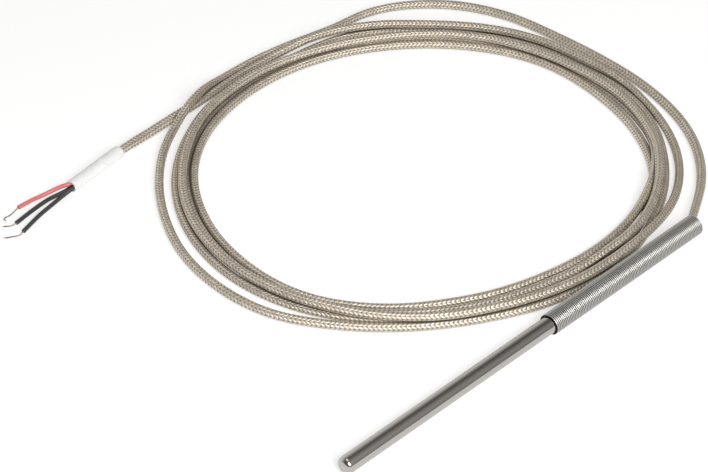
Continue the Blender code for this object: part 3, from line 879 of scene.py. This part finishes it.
class PROBE_OT_cable(bpy.types.Operator):
    """Lays the braided cable from the spring through its coil to the sleeve, with the leads on its end"""

    bl_idname = "probe.cable"
    bl_label = "Braided cable, sleeve and leads"

    def execute(self, context):
        cable = context.scene.probe_cable
        leads = context.scene.probe_leads
        path = cable_route(cable.ring_spacing)
        radius = cable.diameter / 2
        cord = tube_mesh("braided_cable", path, cable_radii(path, radius), cable.sides, cable.strand_pitch)
        # Painted shade where the turns touch each other and the floor, stored on the vertices
        places = np.empty(3 * len(cord.data.vertices))
        cord.data.vertices.foreach_get("co", places)
        shade = cord.data.attributes.new("PaintedShade", "FLOAT", "POINT")
        shade.data.foreach_set("value", painted_shade_mask(places.reshape(-1, 3), path, cable.sides))
        finish_piece(cord, braided_metal(cable), "cable_braid", "cord_first_loop", "cord_coil", "cord_tail")
        inner = inside_places(CABLE_START_X, CORD_START_X - 0.0001, 40)
        first = -(CORD_START_X - CABLE_START_X)
        held = tube_mesh("cable_in_spring_braid", inner, radius, cable.sides, cable.strand_pitch, first)
        finish_piece(held, braided_metal(cable), "cable_braid", "cable_in_spring")
        pieces = [self.sleeve(leads)]
        rows = [
            ("red", 60, RED_ROUTE, RED_STRAND, leads.red),
            ("black_1", 300, BLACK_1_ROUTE, BLACK_1_STRAND, leads.black),
            ("black_2", 180, BLACK_2_ROUTE, BLACK_2_STRAND, leads.black),
        ]
        for label, bearing, route, strand, colour in rows:
            pieces.append(self.lead(label, bearing, route, colour, leads))
            pieces.append(self.strands(label, route, strand))
        return {"FINISHED"}

    # A cut tube, a little narrower past the cable's end where it shrank on to the leads
    def sleeve(self, settings):
        deselect()
        length = sleeve_length()
        middle = on_sleeve(length / 2)
        turn = sleeve_direction().to_track_quat("Z", "Y").to_euler()
        bpy.ops.mesh.primitive_cylinder_add(
            vertices=48, radius=SLEEVE_OD / 2, depth=length,
            end_fill_type="NGON", location=middle, rotation=turn,
        )
        sleeve = name_piece(bpy.context.object, "shrunk_sleeve")
        select_where("FACE", lambda centre, normal: abs(normal.z) > 0.9)
        bpy.ops.mesh.inset(thickness=SLEEVE_WALL, use_individual=True)
        bpy.ops.mesh.delete(type="FACE")
        bore = SLEEVE_OD / 2 - SLEEVE_WALL + 0.00005
        select_where("EDGE", lambda a, b: max(a.xy.length, b.xy.length) < bore and abs(a.z - b.z) < 0.0001)
        bpy.ops.mesh.bridge_edge_loops()
        for i in range(1, 14):
            bpy.ops.mesh.select_all(action="SELECT")
            place = on_sleeve(length * i / 14)
            bpy.ops.mesh.bisect(plane_co=place, plane_no=sleeve_direction())
        bpy.ops.mesh.select_all(action="SELECT")
        bpy.ops.mesh.normals_make_consistent(inside=False)
        bpy.ops.object.mode_set(mode="OBJECT")
        for vertex in sleeve.data.vertices:
            along = vertex.co.z + length / 2
            past = min(1.0, max(0.0, (along - SLEEVE_COVER) / 0.004))
            narrower = 1.0 - 0.05 * past * past * (3 - 2 * past) + 0.012 * math.sin(along * 900.0)
            vertex.co.xy *= narrower
        apply_place(sleeve)
        bpy.ops.object.shade_smooth_by_angle(angle=math.radians(40))
        return finish_piece(sleeve, sleeve_plastic(settings), "white_sleeve", "end_sleeve")

    def lead(self, label, bearing, route, colour, settings):
        along = sleeve_direction()
        aside = Vector((along.y, -along.x, 0.0))
        angle = math.radians(bearing)
        offset = (aside * math.cos(angle) + Vector((0.0, 0.0, math.sin(angle)))) * BUNDLE_RADIUS
        inside = [on_sleeve(d) + offset for d in (SLEEVE_COVER + 0.0003, sleeve_length() - 0.001)]
        points = [tuple(p) for p in inside] + [tuple(v * 0.001 for v in p) for p in route]
        path = eased(smooth_route(points, 0.0005), 8, 2)
        lead = tube_mesh("lead_insulation_" + label, path, settings.diameter / 2, 16, 0.001)
        mat = insulation(("red" if label == "red" else "black") + "_insulation", list(colour), 0.42)
        slot = ("red" if label == "red" else "black") + "_insulation"
        return finish_piece(lead, mat, slot, "lead_" + label)

    # Thin strands twisted round each other, spreading a little at the tip
    def strands(self, label, route, strand):
        end = Vector([v * 0.001 for v in route[-1]])
        onward = (end - Vector([v * 0.001 for v in route[-2]])).normalized()
        start = end - onward * 0.0015
        points = [tuple(start), tuple(end)] + [tuple(v * 0.001 for v in p) for p in strand]
        path = eased(smooth_route(points, STRAND_STEP), 6, 2)
        across, up = carried_frames(path)
        along = np.linspace(0.0, 1.0, len(path))[:, None]
        parts = []
        for i in range(7):
            twist = i * 2 * math.pi / 6 + along * len(path) * STRAND_STEP / STRAND_TWIST * 2 * math.pi
            reach = 0.0 if i == 6 else STRAND_OUT * (1 + 0.5 * along**3)
            wire = path + reach * (across * np.cos(twist) + up * np.sin(twist))
            wire[:, 2] = np.maximum(wire[:, 2], STRAND_LOWEST)
            cut = len(path) - (i * 5) % 17
            parts.append(tube_mesh("strand", wire[:cut], STRAND_R, 6, 0.001))
        deselect()
        for part in parts:
            part.select_set(True)
        bpy.context.view_layer.objects.active = parts[0]
        bpy.ops.object.join()
        piece = name_piece(bpy.context.object, "bare_strands_" + label)
        return finish_piece(piece, strand_metal(), "bare_strand", "bare_end_" + label)


class PROBE_OT_sheath(bpy.types.Operator):
    """Turns the bright metal sheath with its rounded closed tip"""

    bl_idname = "probe.sheath"
    bl_label = "Sheath"

    def execute(self, context):
        settings = context.scene.probe_sheath
        deselect()
        radius = settings.diameter / 2
        length = SHEATH_END_X - TIP_X
        middle = ((SHEATH_END_X + TIP_X) / 2, 0.0, AXIS_Z)
        bpy.ops.mesh.primitive_cylinder_add(
            vertices=96, radius=radius, depth=length,
            end_fill_type="NGON", location=middle, rotation=(0.0, math.pi / 2, 0.0),
        )
        sheath = name_piece(context.object, "sheath")
        half = length / 2
        select_where("EDGE", lambda a, b: a.z < -half + 0.0001 and b.z < -half + 0.0001)
        bpy.ops.mesh.bevel(offset=settings.tip_round, segments=12, profile=0.5, affect="EDGES")
        select_where("FACE", lambda centre, normal: normal.z > 0.9)
        bpy.ops.mesh.inset(thickness=SHEATH_WALL)
        bpy.ops.mesh.extrude_region_move(TRANSFORM_OT_translate={"value": (-(length - 0.001), 0.0, 0.0)})
        bpy.ops.object.mode_set(mode="OBJECT")
        apply_place(sheath)
        bpy.ops.object.shade_smooth_by_angle(angle=math.radians(35))
        finish_piece(sheath, sheath_metal(settings), "sheath_steel", "sheath_tube")
        return {"FINISHED"}


class PROBE_OT_spring(bpy.types.Operator):
    """Winds the strain relief spring from one round wire"""

    bl_idname = "probe.spring"
    bl_label = "Strain relief spring"

    def execute(self, context):
        settings = context.scene.probe_spring
        deselect()
        radius = settings.wire_diameter / 2
        pitch = (SPRING_END_X - SPRING_START_X - settings.wire_diameter) / settings.turns
        bpy.ops.mesh.primitive_circle_add(vertices=10, radius=radius, rotation=(math.pi / 2, 0.0, 0.0))
        spring = name_piece(context.object, "wound_spring")
        apply_place(spring)
        for vertex in spring.data.vertices:
            vertex.co.x += COIL_MEAN_R
        turn = spring.modifiers.new("Wind", "SCREW")
        turn.axis = "Z"
        turn.angle = 2 * math.pi
        turn.screw_offset = pitch
        turn.iterations = settings.turns
        turn.steps = settings.steps
        turn.render_steps = settings.steps
        turn.use_smooth_shade = True
        activate(spring)
        bpy.ops.object.modifier_apply(modifier="Wind")
        bpy.ops.object.mode_set(mode="EDIT")
        bpy.ops.mesh.select_mode(type="EDGE")
        bpy.ops.mesh.select_all(action="DESELECT")
        bpy.ops.mesh.select_non_manifold(
            extend=False, use_wire=False, use_boundary=True, use_multi_face=False
        )
        bpy.ops.mesh.fill()
        bpy.ops.mesh.select_all(action="SELECT")
        bpy.ops.mesh.normals_make_consistent(inside=False)
        bpy.ops.object.mode_set(mode="OBJECT")
        spring.rotation_euler = (0.0, math.pi / 2, 0.0)
        spring.location = (SPRING_START_X + radius, 0.0, AXIS_Z)
        apply_place(spring)
        bpy.ops.object.shade_smooth_by_angle(angle=math.radians(60))
        finish_piece(spring, spring_metal(settings), "spring_steel", "strain_relief_spring")
        return {"FINISHED"}


class PROBE_OT_inside(bpy.types.Operator):
    """Gives the pieces inside the sheath their finishes"""

    bl_idname = "probe.inside"
    bl_label = "Finishes inside the sheath"

    def execute(self, context):
        leads = context.scene.probe_leads
        finishes = {
            "sensing_element": inner_finish(
                "fired_ceramic", (0.78, 0.75, 0.69), (0.90, 0.88, 0.84), 0.0, 0.5, 900.0
            ),
            "tip_potting": inner_finish(
                "cast_potting", (0.30, 0.28, 0.26), (0.46, 0.44, 0.41), 0.0, 0.7, 700.0
            ),
            "end_seal": inner_finish(
                "seal_resin", (0.05, 0.045, 0.04), (0.11, 0.10, 0.09), 0.0, 0.3, 400.0
            ),
        }
        fine_wire = inner_finish("element_wire", (0.62, 0.61, 0.59), (0.80, 0.79, 0.77), 1.0, 0.3, 1500.0)
        crimp = inner_finish("crimped_splice", (0.60, 0.50, 0.34), (0.78, 0.68, 0.50), 1.0, 0.35, 1200.0)
        red = insulation("red_insulation", list(leads.red), 0.42)
        black = insulation("black_insulation", list(leads.black), 0.42)
        for node in ("element_lead_a", "element_lead_b"):
            finishes[node] = fine_wire
        for node in ("splice_red", "splice_black"):
            finishes[node] = crimp
        finishes["inner_wire_red"] = red
        for node in ("inner_wire_black_1", "inner_wire_black_2"):
            finishes[node] = black
        for node, mat in finishes.items():
            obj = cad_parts[node]
            if not obj.material_slots:
                obj.data.materials.append(mat)
            for slot in obj.material_slots:
                slot.material = mat
        return {"FINISHED"}


class PROBE_PT_panel(bpy.types.Panel):
    bl_label = "Temperature probe"
    bl_idname = "PROBE_PT_panel"
    bl_space_type = "VIEW_3D"
    bl_region_type = "UI"
    bl_category = "Probe"

    def draw(self, context):
        scene = context.scene
        for name in GROUPS:
            group = getattr(scene, name)
            box = self.layout.box()
            for key in group.__annotations__:
                box.prop(group, key)
        for operator in STEPS:
            self.layout.operator(operator.bl_idname)


GROUPS = {
    "probe_stage": StageSettings,
    "probe_cable": CableSettings,
    "probe_leads": LeadSettings,
    "probe_sheath": SheathSettings,
    "probe_spring": SpringSettings,
}
STEPS = (PROBE_OT_stage, PROBE_OT_cable, PROBE_OT_sheath, PROBE_OT_spring, PROBE_OT_inside)


def register():
    for group in GROUPS.values():
        bpy.utils.register_class(group)
    for key, group in GROUPS.items():
        setattr(bpy.types.Scene, key, PointerProperty(type=group))
    for operator in STEPS:
        bpy.utils.register_class(operator)
    bpy.utils.register_class(PROBE_PT_panel)


def unregister():
    bpy.utils.unregister_class(PROBE_PT_panel)
    for operator in reversed(STEPS):
        bpy.utils.unregister_class(operator)
    for key in GROUPS:
        delattr(bpy.types.Scene, key)
    for group in reversed(list(GROUPS.values())):
        bpy.utils.unregister_class(group)


def main():
    register()
    bpy.ops.probe.stage()
    bpy.ops.probe.cable()
    bpy.ops.probe.sheath()
    bpy.ops.probe.spring()
    bpy.ops.probe.inside()
    deselect()


if __name__ == "__main__":
    main()
